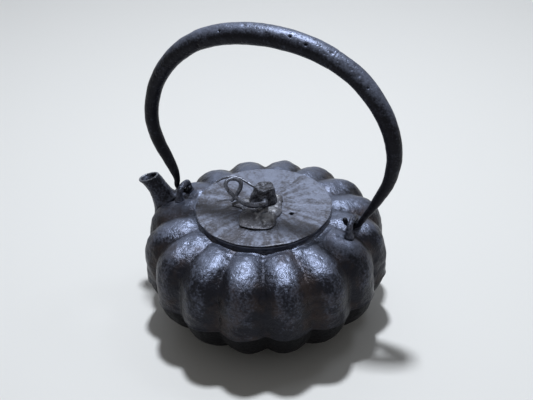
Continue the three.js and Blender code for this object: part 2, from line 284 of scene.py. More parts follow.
iron = {  # what all the iron has in common: how far each noise counts, and where their ramps lie
    "wideInPale": 0.25, "mottleInPale": 0.35, "grainInPale": 0.4,
    "wideInBrown": 0.6, "mottleInBrown": 0.4, "brownSoft": 0.2,
    "roughFrom": 0.35, "roughTo": 0.65, "wornSheenSmooth": 0.1,
    "poreFrom": 0.05, "poreTo": 0.4, "bumpReach": 0.001,
}


# Iron. Pale and brown patches come up through a dark skin where noises and the piece's own
# marks pass a threshold, a near-black darkening covers what the piece says (soot and painted
# shade below the body's seam), and worn edges are bare and lighter, partly a painted highlight.
# The bump is lumps of two sizes and round pores.
def ironFinish(name, look, marks=None):
    f = Finish(name)
    here = f.place()
    wide = f.noise(here, look["patchScale"], 4.0, 0.6)
    mottle = f.noise(here, look["mottleScale"], 4.0, 0.6)
    grain = f.noise(here, look["grainScale"], 3.0, 0.65)
    pores = f.cells(here, look["poreScale"])
    mark = {"pale": 0.0, "brown": 0.0, "darkening": 0.0, "wornSheen": 0.0, **(marks(f, here) if marks else {})}
    pale = wide * iron["wideInPale"] + mottle * iron["mottleInPale"] + grain * iron["grainInPale"]
    pale = f.ramp(pale + mark["pale"], look["paleFrom"], look["paleFrom"] + look["paleSoft"])
    brown = wide * iron["wideInBrown"] + mottle * iron["mottleInBrown"]
    brown = f.ramp(brown + mark["brown"], look["brownFrom"], look["brownFrom"] + iron["brownSoft"])
    colour = f.mix(pale, look["dark"], look["pale"])
    colour = f.mix(brown * look["brownShare"], colour, look["brown"])
    # the darkening is in places painted shade, and the worn colour in places a painted highlight
    colour = f.mix(mark["darkening"], colour, look["darkening"])
    colour = f.mix(mark["wornSheen"], colour, look["bare"])
    rough = f.ramp(grain * 0.5 + mottle * 0.5, iron["roughFrom"], iron["roughTo"])
    rough = rough * look["roughSpread"] + look["rough"]
    rough = rough + look["darkeningRough"] * mark["darkening"] - iron["wornSheenSmooth"] * mark["wornSheen"]
    height = mottle * look["mottleHeight"] + grain * look["grainHeight"]
    height = height + f.ramp(pores, iron["poreFrom"], iron["poreTo"]) * look["poreHeight"]
    bump = f.node("ShaderNodeBump", values={
        "Height": height, "Distance": iron["bumpReach"], "Strength": look["bump"]})
    shader = f.node("ShaderNodeBsdfPrincipled", values={
        "Base Color": colour, "Metallic": look["metal"], "Roughness": rough, "Normal": bump,
        "Specular IOR Level": look["specular"]})
    f.node("ShaderNodeOutputMaterial", values={"Surface": shader})
    return f.data


# Body

body = {
    "columns": 432, "lobes": 16, "lobeDepth": 7.0, "crownShare": 0.4, "lobeRound": 0.9,
    "valleySoft": 0.07, "valleyWide": 0.3, "footDepth": 3.5,
    "radius": 95.0, "widest": 42.0, "baseRadius": 62.0, "chamfer": 2.0,
    "shoulderTop": 89.4, "shoulderRadius": 71.0, "lowerPower": 1.9, "upperPower": 4.5,
    "crown": [(64, 90.8), (58, 91), (54.6, 90), (51.4, 89.9)],  # from the shoulder to the rim's foot
    "crownInside": [(62, 87.7), (58, 88.1), (54, 88), (50, 87.6)],
    "rimFoot": 90.2, "rimRadius": 50.6, "rimTop": 92.0, "mouthRadius": 46.5, "wall": 3.0,
    "foot": [(4, 0.4), (20, 0.4), (40, 0.4), (54, 0.3), (58, 0)],  # the base is slightly hollow
    "seamHeight": 40.6, "seamStep": 1.4, "stepReach": 0.3, "seamWave": 0.9, "waveSize": 14.0,
    "flash": 0.25, "flashHeight": 0.5,
    "skin": ((18.0, 1.2), (7.5, 1.1), (3.6, 0.6)),  # size and depth of the unevenness
    "skinBelow": 0.35,  # how much of it is left below the seam
}


# How far into a valley each direction lies: 0 on a ridge and 1 in a valley, as a round arc
# between valleys that are softened a little, mixed with a plain wave that widens them
def valley(angle):
    away = np.abs(2 * ((angle * body["lobes"] / (2 * np.pi)) % 1) - 1)
    away = np.clip(1 - np.sqrt((1 - away) ** 2 + body["valleySoft"] ** 2), 0, 1)
    arc = 1 - np.sqrt(1 - (body["lobeRound"] * away) ** 2)
    arc = arc / (1 - math.sqrt(1 - body["lobeRound"] ** 2))
    wave = 0.5 + 0.5 * np.cos(angle * body["lobes"])
    return (1 - body["valleyWide"]) * arc + body["valleyWide"] * wave


# Depth of the valleys at each radius of the outline, none at the mouth
def lobeDepthAt(radius):
    spread = np.maximum(0, (radius - body["rimRadius"]) / (body["radius"] - body["rimRadius"]))
    share = body["crownShare"] + (1 - body["crownShare"]) * spread
    return body["lobeDepth"] * share * np.minimum(1, 5 * spread)


# The outline from the foot over the widest level to the shoulder: two quarter superellipses,
# inset by the wall's thickness for the inner face
def wallOutline(inset=0.0):
    low, high = body["lowerPower"], body["upperPower"]
    lowReach = body["widest"] / (1 - (body["baseRadius"] / body["radius"]) ** low) ** (1 / low)
    highReach = (body["shoulderTop"] - body["widest"]) / (
        1 - (body["shoulderRadius"] / body["radius"]) ** high) ** (1 / high)
    wide = body["radius"] - inset
    floor = body["chamfer"] if inset == 0 else body["wall"] + 1
    drop = np.linspace(body["widest"] - floor, 0, 300)
    lowerRadius = wide * (1 - (drop / (lowReach - inset)) ** low) ** (1 / low)
    rise = body["shoulderTop"] - inset - body["widest"]
    angle = np.linspace(0, math.asin((rise / (highReach - inset)) ** (high / 2)), 500)[1:]
    upperRadius = wide * np.cos(angle) ** (2 / high)
    upperHeight = body["widest"] + (highReach - inset) * np.sin(angle) ** (2 / high)
    lower = np.stack([lowerRadius, body["widest"] - drop], 1)
    return np.vstack([lower, np.stack([upperRadius, upperHeight], 1)])


# Points on the surface: the outline turned about Z, with the valleys and then an amount of its
# own pressed in along the outline's normal. On the flat base the valleys are pressed in level.
def lobedSurface(outline, inward=None):
    angle = fullTurn(body["columns"])
    outline = np.asarray(outline, float)
    radius, height = outline[:, :1], outline[:, 1:]
    slope = unit(np.gradient(outline, axis=0))
    flat = height < 1
    inwards, upwards = np.where(flat, -1, -slope[:, 1:]), np.where(flat, 0, slope[:, :1])
    depth = np.where(flat, body["footDepth"] * radius / body["baseRadius"], lobeDepthAt(radius))
    wide = radius + depth * valley(angle) * inwards
    high = height + depth * valley(angle) * upwards
    push = inward(aboutZ(wide, angle, high)) if inward else 0
    return aboutZ(wide + push * inwards, angle, high + push * upwards)


# Cast skin: lumps of a few sizes. Below the mould's seam, whose height wanders, the wall steps
# in, and a thin flash stands out just above it as a bell curve.
def castSkin(points):
    wander = body["seamWave"] * (lumps(points, body["waveSize"], 17) - 0.5)
    above = points[..., 2] - body["seamHeight"] - wander
    left = body["skinBelow"] + (1 - body["skinBelow"]) * ease(above / 2 + 0.5)
    step = body["seamStep"] * ease(0.5 - above / body["stepReach"])
    flash = body["flash"] * np.exp(-((above - body["flashHeight"]) / body["flashHeight"]) ** 2)
    return uneven(points, body["skin"], 11, 0.25) * left + step - flash


rim, rimTop, mouth = body["rimRadius"], body["rimTop"], body["mouthRadius"]
crown = throughPoints([(body["shoulderRadius"], body["shoulderTop"]), *body["crown"]])
footEdge = [body["baseRadius"] - body["chamfer"], 0]
whole = np.vstack([footEdge, wallOutline(), crown[1:], [rim, body["rimFoot"]]])
seamRows = body["seamHeight"] + np.linspace(-1, 1, 14)
seamLine = np.stack([np.interp(seamRows, wallOutline()[:, 1], wallOutline()[:, 0]), seamRows], 1)
belowSeam, aboveSeam = np.argmax(whole[:, 1] > seamRows[0]), np.argmax(whole[:, 1] > seamRows[-1])
wallRows = np.vstack([evenly(whole[:belowSeam], 48)[:-1], seamLine, evenly(whole[aboveSeam:], 88)[1:]])
mouthRows = [
    [rim, rimTop - 1], [rim, rimTop - 0.5], [rim - 0.5, rimTop], [rim - 2, rimTop], [mouth + 1.5, rimTop],
    [mouth + 0.5, rimTop], [mouth, rimTop - 0.5], [mouth, rimTop - 2], [mouth, rimTop - 4],
    [mouth + 0.7, rimTop - 4.8],
]
inside = wallOutline(body["wall"])
inside[:, 0] -= body["seamStep"] * (inside[:, 1] < body["seamHeight"] + 2)
floorRows = [[radius, body["wall"]] for radius in (6, 20, 40, 55)]
footShape, wallShape = lobedSurface(body["foot"]), lobedSurface(wallRows, castSkin)
wallShape[..., 2] = np.maximum(wallShape[..., 2], 0)
mouthShape = lobedSurface(mouthRows)
innerShape = lobedSurface(np.vstack([floorRows, evenly(inside, 34), body["crownInside"]]))[::-1]
outerShape = np.concatenate([footShape, wallShape])
footMiddle = (0, 0, body["foot"][0][1])
bodyPiece = addPiece("kettleBody", np.concatenate([outerShape, mouthShape, innerShape]),
                     start=footMiddle, end=(0, 0, body["wall"]))


# How far points stand outside the body's wall, measured level
def standOff(points):
    outline = wallOutline()
    radius = np.interp(points[..., 2], outline[:, 1], outline[:, 0])
    angle = np.arctan2(points[..., 1], points[..., 0])
    return np.hypot(points[..., 0], points[..., 1]) - radius + lobeDepthAt(radius) * valley(angle)


bodyLook = {  # scales in lumps per metre, heights in millimetres, levels in metres
    "patchScale": 26.0, "mottleScale": 125.0, "grainScale": 520.0, "poreScale": 420.0,
    "paleFrom": 0.5, "paleSoft": 0.25, "brownFrom": 0.48, "brownShare": 0.75,
    "dark": shade(0.0135, 0.014, 0.0195), "pale": shade(0.125, 0.14, 0.192),
    "brown": shade(0.038, 0.027, 0.024), "darkening": shade(0.003, 0.003, 0.004), "bare": shade(0.2, 0.21, 0.24),
    "rough": 0.3, "roughSpread": 0.2, "darkeningRough": 0.25, "metal": 0.65, "specular": 0.24,
    "mottleHeight": 1.4, "grainHeight": 0.5, "poreHeight": 0.12, "bump": 0.85,
    # the pale shoulder (patina) is partly pale deposits and partly a painted highlight
    "patinaSheen": 0.3, "patinaSheenFrom": 0.079, "patinaSheenTo": 0.092,
    "wallPale": 0.055, "wallFrom": 0.045, "wallTo": 0.062,
    "valleyFrom": -0.4, "valleyDark": 0.1, "valleyBrown": 0.05,
    # near-black below the seam: partly soot, partly painted shade where the wall steps in and faces down
    "seam": 0.0405, "sootShadeEnds": (-0.0006, 0.0012), "sootShadeShare": 0.96,
    # the flash's pale line is partly wear and partly a painted highlight
    "flashStarts": (0.0, 0.0006), "flashEnds": (0.0008, 0.0016), "flashWornSheen": 0.07,
}


# The body's marks: a paler shoulder, partly pale deposits and partly a painted highlight where
# the lamp catches it, a few pale deposits on the wall, dark brown valleys, near-black below the
# seam, partly soot and partly painted shade, and a faintly worn flash that is partly a painted
# highlight. A valley is where the cosine of the lobes' count times the turning angle nears 1.
def bodyMarks(f, here):
    x, y, z = f.axes(here)

    def pastSeam(steps):  # 0 to 1 between two heights, given from the seam
        return f.ramp(z, bodyLook["seam"] + steps[0], bodyLook["seam"] + steps[1])

    around = f.number("ARCTAN2", y, x) * body["lobes"]
    inValley = f.ramp(f.number("COSINE", around), bodyLook["valleyFrom"], 1.0)
    # paler shoulder: partly pale deposits, partly a painted highlight
    patinaSheen = f.ramp(z, bodyLook["patinaSheenFrom"], bodyLook["patinaSheenTo"])
    wall = f.ramp(z, bodyLook["wallFrom"], bodyLook["wallTo"])
    # near-black below the seam: partly soot, partly painted shade
    darkening = 1.0 - pastSeam(bodyLook["sootShadeEnds"])
    flash = pastSeam(bodyLook["flashStarts"]) * (1.0 - pastSeam(bodyLook["flashEnds"]))
    pale = patinaSheen * bodyLook["patinaSheen"] + wall * bodyLook["wallPale"] - inValley * bodyLook["valleyDark"]
    return {"pale": pale, "brown": inValley * bodyLook["valleyBrown"],
            "darkening": darkening * bodyLook["sootShadeShare"], "wornSheen": flash * bodyLook["flashWornSheen"]}


print("body made")


# Spout

spout = {
    "path": [[-70, 52], [-78, 63], [-85, 76], [-90.5, 87], [-95, 94.4], [-100.6, 99.8], [-109, 105.7]],
    "radii": [18.5, 16.5, 13, 10, 8, 7.6, 8.6], "wall": 2.0, "columns": 128,
    "lip": (-100.1, 99.7), "lipTilt": 19.0, "lipRound": 1.0, "rootFlare": 2.6, "flareReach": 3.2,
    "skin": ((7.0, 0.35), (2.6, 0.2)),
}


# A bar along the spout's line. A flare grows its radius by an amount that fades with the distance
# from the body's wall, and leaves it uneven.
def spoutBar(shrink, flare, count=300):
    path = evenly(np.insert(throughPoints(spout["path"]), 1, 0, axis=1), count)
    rows, out = ringsAlong(path, acrossY, listAt(spout["radii"], count) - shrink, spout["columns"])
    if flare == 0:
        return rows
    push = flare * np.exp(-np.maximum(standOff(rows), 0) / spout["flareReach"])
    return rows + (push - uneven(rows, spout["skin"], 21))[..., None] * out


# The lip's plane: the direction out of the spout, and how far along it the plane lies
def lipPlane():
    tilt = math.radians(spout["lipTilt"])
    normal = np.array([-math.sin(tilt), 0, math.cos(tilt)])
    return normal, float(normal @ [spout["lip"][0], 0, spout["lip"][1]])


lipNormal, lipLevel = lipPlane()


# Cuts each column of a bar just below the lip's plane, and spaces its points evenly again
def toLip(rows, count):
    past = rows @ lipNormal - lipLevel + spout["lipRound"]
    row = np.argmax(past > 0, axis=0)
    column = np.arange(rows.shape[1])
    before, after = past[row - 1, column], past[row, column]
    end = row - 1 + before / (before - after)
    place = np.linspace(0, 1, count)[:, None] * end
    first = np.minimum(place.astype(int), rows.shape[0] - 2)
    share = (place - first)[..., None]
    return rows[first, column] * (1 - share) + rows[first + 1, column] * share


# The lip: half a circle from the outer to the inner face, over the line between them
def lipRows(outer, inner):
    roll = np.linspace(0, np.pi, 9)[1:-1, None, None]
    centre, half = (outer + inner) / 2, (outer - inner) / 2
    return centre + half * np.cos(roll) + np.linalg.norm(half, axis=-1)[:, None] * np.sin(roll) * lipNormal


outer = toLip(spoutBar(0, spout["rootFlare"]), 120)
passage = spoutBar(spout["wall"], 0)
inner = toLip(passage, 60)
spoutRows = np.concatenate([outer, lipRows(outer[-1], inner[-1]), inner[::-1]])
spoutPiece = addPiece("spoutTube", spoutRows, loop=True)
cutAway(spoutPiece, addPiece("bodyFilled", outerShape, start=footMiddle, end=(0, 0, rimTop - 2)))
cutAway(bodyPiece, addPiece("passage", passage, start=passage[0].mean(0), end=passage[-1].mean(0)))

spoutLook = {
    **bodyLook, "allPale": 0.06, "allBrown": -0.04, "rootDark": 0.3, "rootFrom": 0.05, "rootTo": 0.07,
    # the lip's bare line is partly wear and partly a painted highlight
    "lipWornSheen": 0.7, "lipFrom": 0.0011, "lipTo": 0.0003,
}


# The spout's marks: its root is darker, and its lip is bare and lighter, partly worn and partly a painted
# highlight
def spoutMarks(f, here):
    past = f.vector("DOT_PRODUCT", here, tuple(lipNormal), output=1)
    x, y, z = f.axes(here)
    root = 1.0 - f.ramp(z, spoutLook["rootFrom"], spoutLook["rootTo"])
    # lip: bare, partly wear and partly a painted highlight
    lip = f.ramp(past, lipLevel * mm - spoutLook["lipFrom"], lipLevel * mm - spoutLook["lipTo"])
    return {"pale": spoutLook["allPale"], "brown": spoutLook["allBrown"],
            "darkening": root * spoutLook["rootDark"], "wornSheen": lip * spoutLook["lipWornSheen"]}


dress(bodyPiece, "kettle", "body_shell", ironFinish("bodyIron", bodyLook, bodyMarks))
dress(spoutPiece, "kettle", "spout", ironFinish("spoutIron", spoutLook, spoutMarks))
print("spout made")


# Lugs

lug = {
    "left": -68.6, "right": 71.2, "bar": 2.7, "halfWidth": 8.2, "spring": 88.6, "rise": 9.7,
    "archPower": 0.7, "foot": 86.9, "footFlare": 1.5, "flareReach": 1.5, "columns": 48,
    "skin": ((4.5, 0.5), (1.8, 0.2)),
}
lugIron = ironFinish("lugIron", {**bodyLook, "paleFrom": 0.4, "rough": 0.34, "mottleScale": 240.0})


# An arch of round bar: y is a power of a cosine and z the same power of a sine of one turning
# angle, which makes its top flat, and the bar thickens into its two feet
def lugPiece(name, place, node, seed):
    angle = np.linspace(math.pi, 0, 200)
    y = lug["halfWidth"] * np.sign(np.cos(angle)) * np.abs(np.cos(angle)) ** lug["archPower"]
    z = lug["spring"] + lug["rise"] * np.sin(angle) ** lug["archPower"]
    foot = np.array([[place, -lug["halfWidth"], lug["foot"]], [place, lug["halfWidth"], lug["foot"]]])
    path = evenly(np.vstack([foot[:1], np.stack([np.full(200, place), y, z], 1), foot[1:]]), 110)
    above = np.maximum(path[:, 2] - body["shoulderTop"], 0)
    radius = lug["bar"] + lug["footFlare"] * np.exp(-above / lug["flareReach"])
    rows, out = ringsAlong(path, np.array([1.0, 0, 0]), radius, lug["columns"])
    rows = rows - uneven(rows, lug["skin"], seed)[..., None] * out
    dress(addPiece(name, rows, start=foot[0], end=foot[1]), "kettle", node, lugIron)


lugPiece("lugLeft", lug["left"], "lug_left", 31)
lugPiece("lugRight", lug["right"], "lug_right", 33)
print("lugs made")


# Lid

lid = {
    "top": 96.2, "radius": 52.0, "thickness": 3.0, "seat": 92.3, "columns": 384,
    "flange": 45.2, "flangeWall": 2.4, "flangeFoot": 84.3, "shankHole": 3.2,
    # the edge's points, out from the radius and up from the seat, and the top's from there inwards
    "edge": [(-2.4, 0), (-0.9, 0.8), (-0.2, 1.7), (0, 2.4), (-0.3, 3), (-1, 3.25), (-3, 3.25)],
    "topLine": [(46, 95.6), (38, 95.8), (30, 96), (21, 96.2), (14, 96.2)],
    "rimWave": 0.2, "rimDrop": 0.5, "streakDepth": 0.75, "skin": ((11.0, 0.4), (3.0, 0.16)),
    "steamHole": (24.5, -3.7), "steamRadius": 1.9, "steamHollow": 0.7, "hollowReach": 3.0,
}


# The lid's outline turned about Z. Its rim waves with the lobes and up and down, its top is let
# down by streaks that run out from the middle and by broad lumps, and round the steam hole it is
# worn hollow as a bell curve. The streaks are lumps read on a circle, slowly changing outwards.
def lidShape():
    under, seat = lid["top"] - lid["thickness"], lid["seat"]
    flange, inside, foot = lid["flange"], lid["flange"] - lid["flangeWall"], lid["flangeFoot"]
    edge = throughPoints(np.array(lid["edge"]) + (lid["radius"], seat), 4)
    below = [[radius, under] for radius in (lid["shankHole"], 12, 24, 36, inside)]
    below += [[inside, foot], [flange, foot], [flange, seat - 0.2], [flange + 0.4, seat], edge[0]]
    top = throughPoints([edge[-1], *lid["topLine"], (lid["shankHole"], lid["top"])])
    outline = np.vstack([below, edge[:-1], evenly(top, 66)])
    angle = fullTurn(lid["columns"])
    radius, height = outline[:, :1], outline[:, 1:]
    wave = lid["rimWave"] * np.cos(body["lobes"] * angle) * ease((radius - 49) / 3)
    points = aboutZ(radius + wave * (height > seat + 0.2), angle, height)
    spokes = aboutZ(9.0, angle, radius / 30)
    down = lid["streakDepth"] * lumps(spokes, 1.6, 41) * ease((radius - 12) / 14)
    down = down + uneven(points, lid["skin"], 42)
    x, y = points[..., 0] - lid["steamHole"][0], points[..., 1] - lid["steamHole"][1]
    down = down + lid["steamHollow"] * np.exp(-(x ** 2 + (0.6 * y) ** 2) / lid["hollowReach"] ** 2)
    down = down + lid["rimDrop"] * lumps(spokes, 2.4, 44) * ease((radius - 44) / 8)
    points[..., 2] -= down * ease(height - seat - 2.2)
    return points


lidPiece = addPiece("lidPlate", lidShape(), loop=True)
hole = aboutZ(lid["steamRadius"], fullTurn(32), 0.0) + (*lid["steamHole"], 0)
drill = np.stack([hole + (0, 0, lid["seat"] - 2.3), hole + (0, 0, lid["top"] + 2.8)])
cutAway(lidPiece, addPiece("drill", drill, start=drill[0].mean(0), end=drill[1].mean(0)))

lidLook = {
    **bodyLook, "mottleScale": 150.0, "paleFrom": 0.42, "paleSoft": 0.24, "brownFrom": 0.56,
    "brownShare": 0.5, "dark": shade(0.066, 0.064, 0.075), "pale": shade(0.19, 0.207, 0.27),
    "brown": shade(0.09, 0.067, 0.056), "bare": shade(0.34, 0.34, 0.36),
    "rough": 0.34, "roughSpread": 0.22, "metal": 0.35,
    "mottleHeight": 0.9, "grainHeight": 0.55, "poreHeight": 0.08,
    # the bare rim is partly wear and partly a painted highlight
    "streaks": 6.0, "streakDrift": 25.0, "streakShare": 0.6, "rimWornSheen": 0.8,
    # the paler back is a painted sheen
    "backSheen": 0.12, "backFrom": -0.02, "backTo": 0.045,
}


# The lid's marks: streaks that run out from the middle, a noise read on a circle, a painted
# sheen that makes the back paler, and a rim that is bare, partly worn and partly a painted highlight
def lidMarks(f, here):
    x, y, z = f.axes(here)
    level = f.node("ShaderNodeCombineXYZ", values={0: x, 1: y})
    reach = f.vector("LENGTH", level, output=1)
    ring = f.node("ShaderNodeVectorMath", {"operation": "SCALE"},
                  {0: f.vector("NORMALIZE", level), "Scale": lidLook["streaks"]})
    drift = f.node("ShaderNodeCombineXYZ", values={2: reach * lidLook["streakDrift"]})
    streak = f.noise(f.vector("ADD", ring, drift), 1.0, 3.0, 0.6)
    # bare rim: partly wear, partly a painted highlight
    rim = f.ramp(reach, (lid["radius"] - 1.2) * mm, (lid["radius"] - 0.4) * mm)
    rim = rim * f.ramp(z, (lid["seat"] + 2.4) * mm, (lid["seat"] + 3) * mm)
    # painted sheen: the back half is paler
    back = f.ramp(y, lidLook["backFrom"], lidLook["backTo"])
    pale = (streak - 0.5) * lidLook["streakShare"] + back * lidLook["backSheen"]
    return {"pale": pale, "wornSheen": rim * lidLook["rimWornSheen"]}


dress(lidPiece, "lid", "lid_plate", ironFinish("lidIron", lidLook, lidMarks))
print("lid made")


# Knob

knob = {
    "turn": 23.0, "columns": 240, "leafLow": 0.3, "footRadius": 11.0, "edgeWave": 0.3,
    "leafEdge": [  # degrees round from the right, and reach
        (0, 14.5), (25, 16.5), (55, 14.5), (90, 16.5), (125, 14.5), (155, 16), (180, 25), (203, 18),
        (222, 24), (239, 33.5), (256, 34), (272, 34.5), (284, 31.5), (298, 22), (315, 19.5), (338, 15),
    ],
    "creases": [  # raised lines on the leaf, right and back of the stalk
        [(-0.2, -26.5), (1.3, -30), (-0.2, -32.5)], [(2, -12), (4.2, -14.7), (2, -19.8), (5, -22.5)],
        [(6.4, -22), (7.9, -26), (8.6, -30)], [(-5.5, -16.8), (-4, -20.7), (-5.4, -24.5)],
        [(-4.1, -11), (-1, -13.1), (-3.2, -18.2)], [(-16, 1), (-21, -1), (-24, 0)],
    ],
    "creaseHeight": 1.8, "creaseWidth": 0.9, "lumps": ((4.6, 2.6), (2.3, 1.3)), "lumpMiddle": 1.43,
    "stemFoot": 3.3, "stemHeight": 13.0, "lean": (1.4, 0.5), "ribs": 5, "ribDepth": 0.95,
    "headDrop": 2.2, "dents": ((4.0, 1.2), (1.8, 0.5)),
    "pit": (9.0, -87.0, 2.8), "pitDepth": 1.8,  # reach, degrees round and height of the tendril's root
}
vine = {  # points right of, behind and above the lid's middle
    "tendril": [
        (1.4, -7.6, 8.6), (1.1, -12.6, 8.8), (-3.8, -13.2, 7.7), (-9, -12.2, 7.1), (-14.3, -9.8, 7.7),
        (-19.5, -7, 10.1), (-25.3, -4, 15.1), (-27.7, -1, 19.1), (-25.5, 2, 21.3), (-20.3, 4, 20.6),
        (-16.6, 4, 17.2), (-17.5, 2.5, 12.3), (-21, 0.5, 7.4), (-24.6, -1, 3.2),
    ],
    "tendrilRadii": [2.5, 2.4, 2.1, 1.8, 1.65, 1.7, 1.75, 1.65, 1.4],
    "sprig": [
        (-5.6, 2.6, 13.4), (-9, 4, 14.9), (-13.4, 7, 16.5), (-18.7, 9.5, 17.9), (-24.1, 10.8, 18.4),
        (-30.2, 10.5, 17.2), (-35.8, 9.5, 14.4),
    ],
    "sprigRadii": [1.2, 1.05, 1.0, 0.8],
    "columns": 28, "rows": 280,
}


# From the knob's own directions, right and back, to the frame's
def turned(right, back):
    angle = math.radians(knob["turn"])
    return right * math.cos(angle) - back * math.sin(angle), right * math.sin(angle) + back * math.cos(angle)


# How far the leaf reaches at each angle: a smooth closed line through its edge's points, read
# by angle
def leafReach(angle):
    degrees, reach = np.array(knob["leafEdge"], float).T
    points = np.stack([reach * np.cos(np.radians(degrees)), reach * np.sin(np.radians(degrees))], 1)
    line = throughPoints(np.vstack([points[-3:], points, points[:3]]), 16)
    around = np.unwrap(np.arctan2(line[:, 1], line[:, 0]))
    start = around[0] + 0.5
    at = (angle - math.radians(knob["turn"]) - start) % (2 * np.pi) + start
    return np.interp(at, around, np.hypot(line[:, 0], line[:, 1]))


# Distance from points to the nearest stretch of a broken line
def awayFromLine(points, line):
    nearest = np.full(points.shape[:-1], np.inf)
    for a, b in zip(line[:-1], line[1:]):
        along = np.clip(((points - a) @ (b - a)) / ((b - a) @ (b - a)), 0, 1)
        nearest = np.minimum(nearest, np.linalg.norm(points - a - along[..., None] * (b - a), axis=-1))
    return nearest


# The leaf below the stalk: it falls from the stalk's foot to its edge, and creases and lumps
# stand on its right half, while the left half is a flatter blade
def leafShape():
    angle = fullTurn(knob["columns"])
    edge = leafReach(angle) + knob["edgeWave"] * (np.cos(19 * angle + 2 * np.sin(3 * angle)) - 1)
    share = np.concatenate([np.linspace(0, 1, 84), [1, 0.985, 0.5, 0]])[:, None]
    radius = lid["shankHole"] + (edge - lid["shankHole"]) * share
    points = aboutZ(radius, angle, 0.0)
    foot = knob["footRadius"]
    far = np.clip((radius - foot) / np.maximum(edge - foot, 1), 0, 1)
    right = turned(1, 0)[0] * points[..., 0] + turned(1, 0)[1] * points[..., 1]
    lumpy = 0.25 + 0.75 * ease((right + 7) / 5)
    relief = lumpy * (uneven(points, knob["lumps"], 51) - knob["lumpMiddle"])
    for crease in knob["creases"]:
        line = np.stack(turned(*np.array(crease, float).T), 1)
        nearest = awayFromLine(points[..., :2], throughPoints(line, 6))
        relief = relief + knob["creaseHeight"] * np.exp(-(nearest / knob["creaseWidth"]) ** 2)
    height = 2.6 - 1.5 * far - 0.6 * far ** 5
    height = height + relief * ease((radius - 10.2) / 2) * ease((edge - radius) / 3.5 + 0.1)
    height = np.clip(height, 0.3, np.where(radius < foot, 2.7, 3.6))
    height[-4:] = np.array([0.2, 0.0, 0.0, 0.0])[:, None]  # down over the edge and back below
    points[..., 2] = lid["top"] + knob["leafLow"] + height
    return points


# The stalk: an outline turned about Z with five ribs and hollow sides between them, its top
# dished, leaning a little, dented all over, and below the leaf a plain shank with a peened head.
# One deep pit lies where the tendril comes out. Gives its rows and the poles that close them.
def stalkShape():
    foot, head = lid["top"] + knob["stemFoot"], lid["top"] - lid["thickness"] - knob["headDrop"]
    crest = foot + knob["stemHeight"]
    shank = [[3.4, head - 2], [4.6, head - 0.8], [4.6, head], [2.8, head], [2.8, foot - 0.1], [2.9, foot]]
    side = throughPoints([
        [9.7, foot], [10, foot + 0.8], [9.2, foot + 3.9], [8.1, foot + 7.8], [7.2, foot + 11.2],
        [6.7, crest - 0.5], [6, crest], [4.6, crest - 0.35], [2.4, crest - 0.8], [0.6, crest - 0.9]])
    outline = np.vstack([shank, evenly(side, 76)])
    angle = fullTurn(knob["columns"])
    radius, height = outline[:, :1], outline[:, 1:]
    above = (height >= foot) * ease((radius - 3) / 3)
    upward = np.clip((height - foot) / knob["stemHeight"], 0, 1)
    rib = np.cos(knob["ribs"] * angle) - 0.3 * np.cos(2 * knob["ribs"] * angle)
    wide = radius + above * ((knob["ribDepth"] - 0.5 * upward) * rib + 0.2)
    points = aboutZ(wide, angle, height)
    pitReach, pitTurn, pitHeight = knob["pit"]
    pit = aboutZ(pitReach, math.radians(pitTurn), foot + pitHeight)
    dents = above * uneven(points, knob["dents"], 61, 0.5)
    dents = dents + knob["pitDepth"] * np.exp(-np.sum((points - pit) ** 2, axis=-1) / 2.4)
    points[..., :2] *= (1 - dents / np.maximum(wide, 1))[..., None]
    nearCrest = ease((height - crest + 1.5) / 1.5)
    points[..., 2] -= above * 0.5 * (lumps(points, 3.2, 63) - 0.2) * nearCrest
    points[..., :2] += np.array(knob["lean"]) * (upward ** 1.2)[..., None]
    return points, (0, 0, head - 2), (*knob["lean"], crest - 0.9)


leafLook = {
    **lidLook, "mottleScale": 200.0, "paleFrom": 0.46, "mottleHeight": 0.7, "rough": 0.3,
    "dark": shade(0.09, 0.088, 0.1), "pale": shade(0.34, 0.36, 0.43),
    # the bright tops are partly rubbed and partly painted glints
    "wornSheen": 0.7, "wornSheenFrom": 0.0985, "wornSheenTo": 0.1002,
}
stalkLook = {
    **bodyLook, "mottleScale": 240.0, "grainScale": 800.0, "paleFrom": 0.42, "brownFrom": 0.54,
    "dark": shade(0.02, 0.019, 0.022), "pale": shade(0.2, 0.21, 0.25), "brown": shade(0.03, 0.02, 0.016),
}
wireLook = {
    **stalkLook, "dark": shade(0.05, 0.05, 0.058), "pale": shade(0.22, 0.235, 0.29), "paleFrom": 0.36,
    "rough": 0.26, "mottleHeight": 0.4, "grainHeight": 0.15, "metal": 0.7,
}


# The leaf's marks: its lumps and raised lines are brighter towards their tops, partly rubbed and partly
# painted glints
def leafMarks(f, here):
    x, y, z = f.axes(here)
    return {"wornSheen": f.ramp(z, leafLook["wornSheenFrom"], leafLook["wornSheenTo"]) * leafLook["wornSheen"]}


stalkIron = ironFinish("stalkIron", stalkLook)
wireIron = ironFinish("wireIron", wireLook)


# A vine: a round bar through its points, its radius read from a list, with round ends
def vinePiece(name, points, radii, node, seed):
    right, back, up = np.array(points, float).T
    line = throughPoints(np.stack([*turned(right, back), lid["top"] + up], 1))
    path = evenly(line, vine["rows"])
    radius = roundEnds(listAt(radii, vine["rows"]), lengthAlong(path))
    across = np.array([*turned(0.0, 1.0), 0.15])
    rows, out = ringsAlong(path, across, radius, vine["columns"])
    rows = rows - (0.25 * radii[0] * (lumps(rows, 3.0, seed) - 0.3))[..., None] * out
    dress(addPiece(name, rows, start=path[0], end=path[-1]), "lid", node, wireIron)


